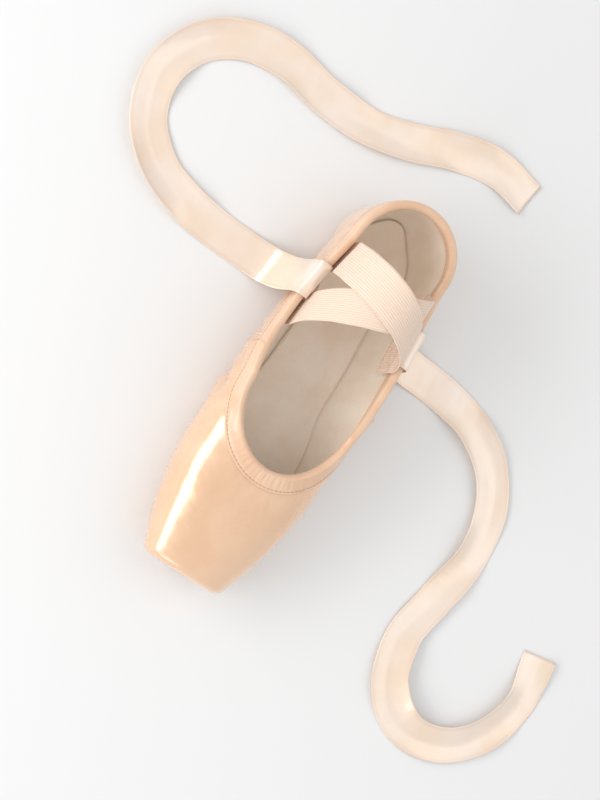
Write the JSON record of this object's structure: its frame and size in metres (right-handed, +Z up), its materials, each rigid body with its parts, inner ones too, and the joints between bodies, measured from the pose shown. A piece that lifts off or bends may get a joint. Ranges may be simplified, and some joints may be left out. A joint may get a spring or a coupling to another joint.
{
  "type": "pointe shoe",
  "caption": "Satin ballet shoe with a stiffened toe box that ends in a flat platform, a thin leather outsole, crossed elastics over the instep and loose tie ribbons",
  "frame": {"origin": "on the floor, under the middle of the shoe's length and width", "axes": "+Y runs from the toe platform to the heel, +X runs across, +Z is up"},
  "size_m": [0.405, 0.3215, 0.0927],
  "materials": {
    "satin": "peach satin with a soft sheen",
    "suede_leather": "beige suede-like leather, slightly marked",
    "insole_cloth": "plain matt lining cloth",
    "binding_tape": "fine matt cotton-backed tape",
    "panel_cloth": "pale matt cloth",
    "elastic": "ribbed matt elastic",
    "ribbon_satin": "cream satin ribbon"
  },
  "bodies": {
    "root": {"upper": "satin", "outsole": "suede_leather", "insole": "insole_cloth", "binding": "binding_tape", "heel_tape": "binding_tape", "toe_panel": "panel_cloth", "elastic_left": "elastic", "elastic_right": "elastic", "ribbon_left": "ribbon_satin", "ribbon_right": "ribbon_satin"}
  },
  "joints": []
}
